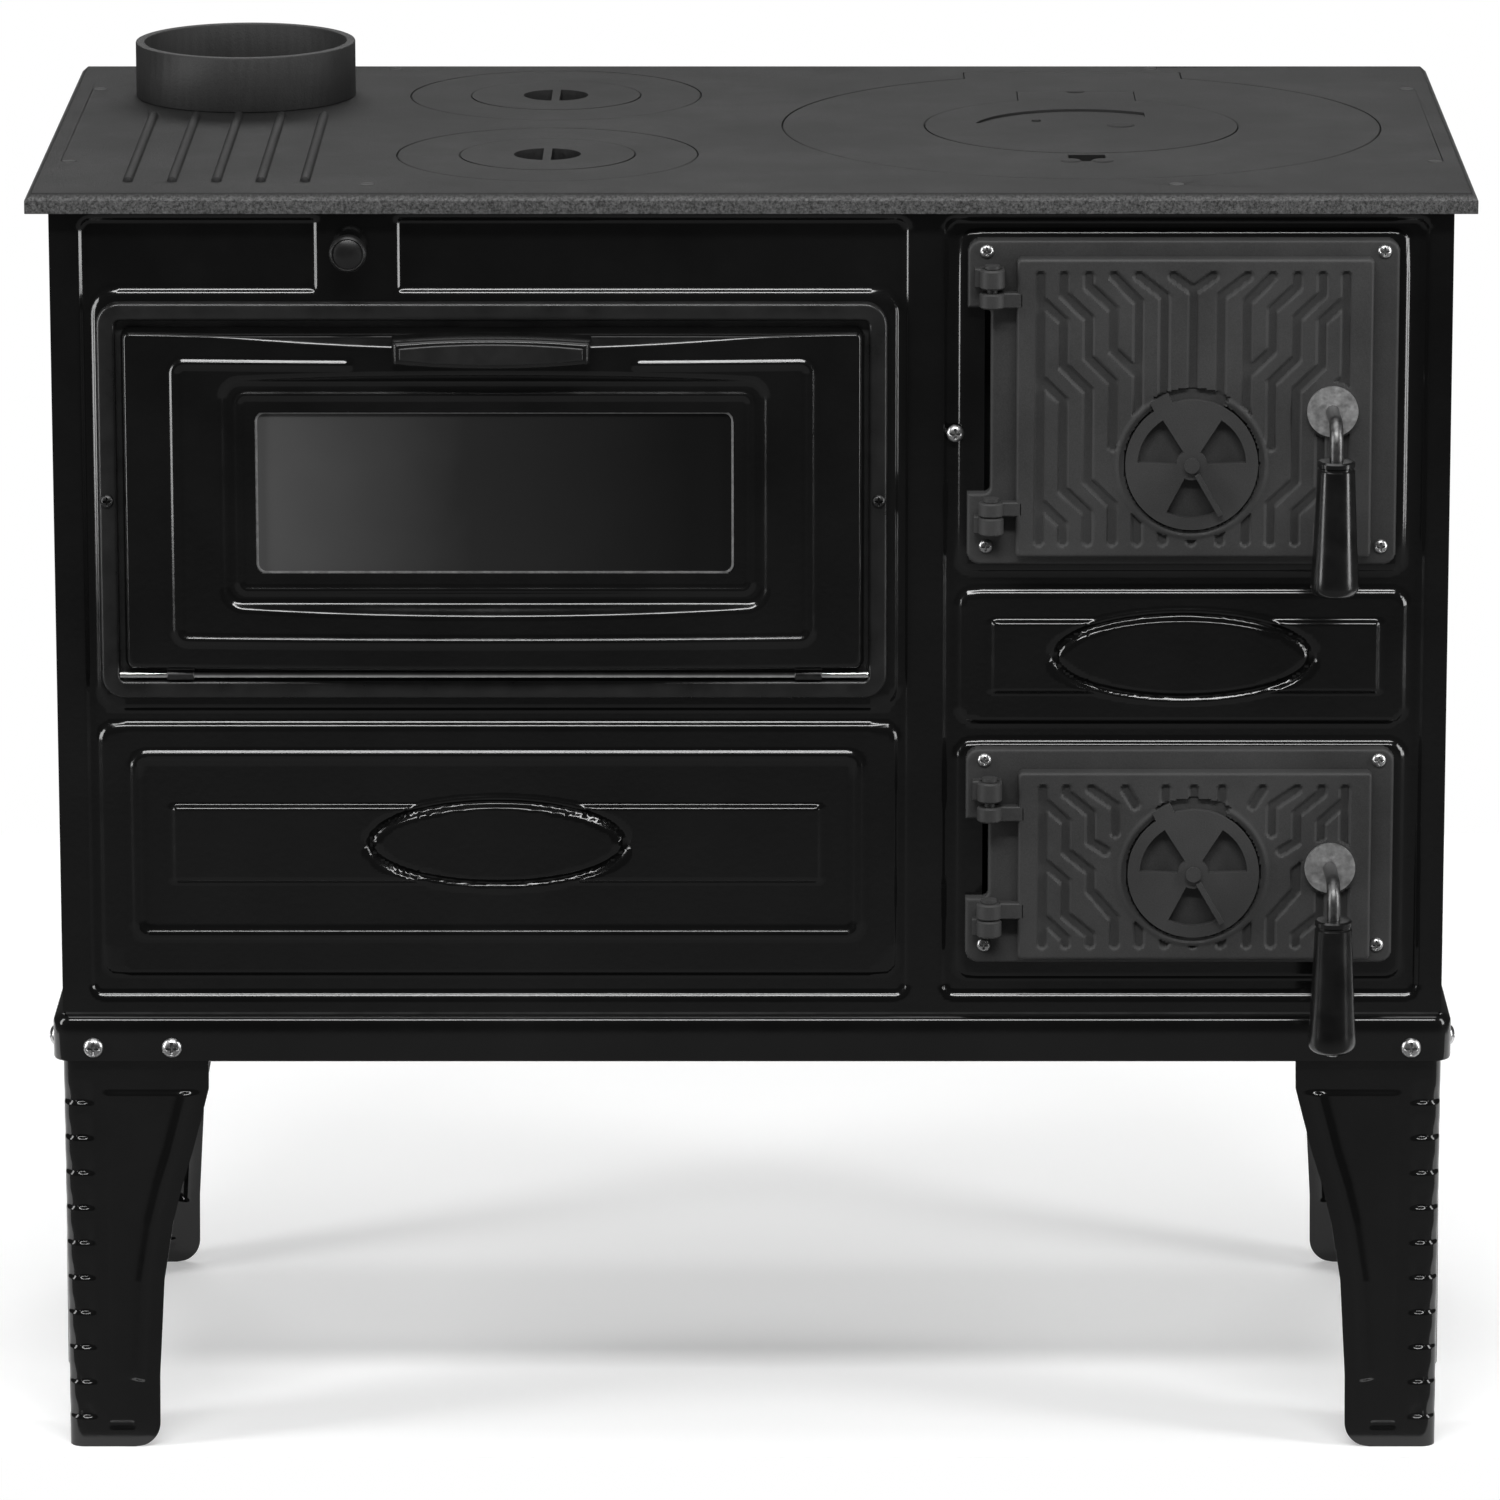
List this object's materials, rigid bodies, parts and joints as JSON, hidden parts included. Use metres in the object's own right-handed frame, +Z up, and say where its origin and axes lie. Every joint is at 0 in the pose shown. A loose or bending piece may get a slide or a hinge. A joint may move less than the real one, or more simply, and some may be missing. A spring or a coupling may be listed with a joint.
{
  "type": "wood burning stove",
  "caption": "Free-standing wood burning cook stove with cast-iron hob plate, flue collar, glazed oven door, latched firebox and ash doors, and pressed legs.",
  "frame": {"origin": "on the floor, under the middle of the stove's box", "axes": "+X to the right of someone facing the doors, +Y from the doors to the back, +Z up"},
  "size_m": [0.85, 0.514, 0.806],
  "materials": {
    "black_enamel": "glossy black enamel",
    "cast_iron": "matt grey, fine sand-cast grain",
    "zinc_steel": "zinc plated",
    "bright_wire": "bright plated",
    "dark_screw": "blackened steel",
    "sheet_steel": "heat-proof dark coating",
    "black_plastic": "glossy phenolic moulding",
    "dark_glass": "heat-proof glass",
    "rope_seal": "braided glass-fibre seal"
  },
  "bodies": {
    "root": {"front_panel": "black_enamel", "left_side_panel": "black_enamel", "right_side_panel": "black_enamel", "base_frame": "black_enamel", "leg_front_left": "black_enamel", "leg_front_right": "black_enamel", "leg_rear_left": "black_enamel", "leg_rear_right": "black_enamel", "oven_door_frame": "black_enamel", "cooking_plate": "cast_iron", "flue_collar": "cast_iron", "firebox_door_frame": "cast_iron", "ash_door_frame": "cast_iron", "firebox_side_liners": "cast_iron", "firebox_back_liner": "cast_iron", "grate_support": "cast_iron", "fire_grate": "cast_iron", "door_hinge_pins": "cast_iron", "leg_bolts": "zinc_steel", "leg_nuts": "zinc_steel", "front_screws": "zinc_steel", "oven_hinge_rod": "bright_wire", "oven_rack": "bright_wire", "oven_shelf_rails": "bright_wire", "plate_screws": "dark_screw", "oven_frame_screws": "dark_screw", "back_panel": "sheet_steel", "bottom_panel": "sheet_steel", "oven_box": "sheet_steel", "ash_pan": "sheet_steel", "ash_pan_runners": "sheet_steel", "flue_baffle": "sheet_steel"},
    "oven_door": {"oven_door_skin": "black_enamel", "oven_door_liner": "sheet_steel", "oven_door_glass": "dark_glass", "oven_glass_seal": "rope_seal", "oven_door_handle": "black_plastic"},
    "damper": {"damper_knob": "black_plastic", "damper_rod": "zinc_steel", "damper_plate": "sheet_steel"},
    "front_ring": {"front_hob_ring": "cast_iron"},
    "front_lid": {"front_hob_lid": "cast_iron"},
    "rear_ring": {"rear_hob_ring": "cast_iron"},
    "rear_lid": {"rear_hob_lid": "cast_iron"},
    "large_ring": {"large_hob_ring": "cast_iron"},
    "large_lid": {"large_hob_lid": "cast_iron"},
    "firebox_door": {"firebox_door_leaf": "cast_iron", "firebox_disc_rivet": "cast_iron"},
    "firebox_vent": {"firebox_air_disc": "cast_iron"},
    "firebox_latch": {"firebox_latch_rod": "zinc_steel", "firebox_latch_washer": "zinc_steel", "firebox_latch_grip": "black_plastic", "firebox_latch_pawl": "zinc_steel"},
    "ash_door": {"ash_door_leaf": "cast_iron", "ash_disc_rivet": "cast_iron"},
    "ash_vent": {"ash_air_disc": "cast_iron"},
    "ash_latch": {"ash_latch_rod": "zinc_steel", "ash_latch_washer": "zinc_steel", "ash_latch_grip": "black_plastic", "ash_latch_pawl": "zinc_steel"}
  },
  "joints": [
    {"name": "oven_door_hinge", "type": "hinge", "parent": "root", "child": "oven_door", "pos_m": [-0.152, -0.186, 0.4816], "axis": [1, 0, 0], "range_deg": [0, 88]},
    {"name": "damper_pull", "type": "slide", "parent": "root", "child": "damper", "axis": [0, -1, 0], "range_m": [0, 0.08]},
    {"name": "firebox_door_hinge", "type": "hinge", "parent": "root", "child": "firebox_door", "pos_m": [0.141, -0.197, 0.645], "axis": [0, 0, -1], "range_deg": [0, 110]},
    {"name": "firebox_vent_turn", "type": "hinge", "parent": "firebox_door", "child": "firebox_vent", "pos_m": [0.2586, -0.199, 0.6117], "axis": [0, 1, 0], "range_deg": [0, 52]},
    {"name": "firebox_latch_turn", "type": "hinge", "parent": "firebox_door", "child": "firebox_latch", "pos_m": [0.341, -0.199, 0.6438], "axis": [0, 1, 0], "range_deg": [0, 90]},
    {"name": "ash_door_hinge", "type": "hinge", "parent": "root", "child": "ash_door", "pos_m": [0.141, -0.197, 0.3675], "axis": [0, 0, -1], "range_deg": [0, 110]},
    {"name": "ash_vent_turn", "type": "hinge", "parent": "ash_door", "child": "ash_vent", "pos_m": [0.262, -0.199, 0.3636], "axis": [0, 1, 0], "range_deg": [0, 52]},
    {"name": "ash_latch_turn", "type": "hinge", "parent": "ash_door", "child": "ash_latch", "pos_m": [0.343, -0.199, 0.3672], "axis": [0, 1, 0], "range_deg": [0, 90]},
    {"name": "front_ring_lift", "type": "slide", "parent": "root", "child": "front_ring", "axis": [0, 0, 1], "range_m": [0, 0.1]},
    {"name": "front_lid_lift", "type": "slide", "parent": "front_ring", "child": "front_lid", "axis": [0, 0, 1], "range_m": [0, 0.1]},
    {"name": "rear_ring_lift", "type": "slide", "parent": "root", "child": "rear_ring", "axis": [0, 0, 1], "range_m": [0, 0.1]},
    {"name": "rear_lid_lift", "type": "slide", "parent": "rear_ring", "child": "rear_lid", "axis": [0, 0, 1], "range_m": [0, 0.1]},
    {"name": "large_ring_lift", "type": "slide", "parent": "root", "child": "large_ring", "axis": [0, 0, 1], "range_m": [0, 0.1]},
    {"name": "large_lid_lift", "type": "slide", "parent": "large_ring", "child": "large_lid", "axis": [0, 0, 1], "range_m": [0, 0.1]}
  ]
}
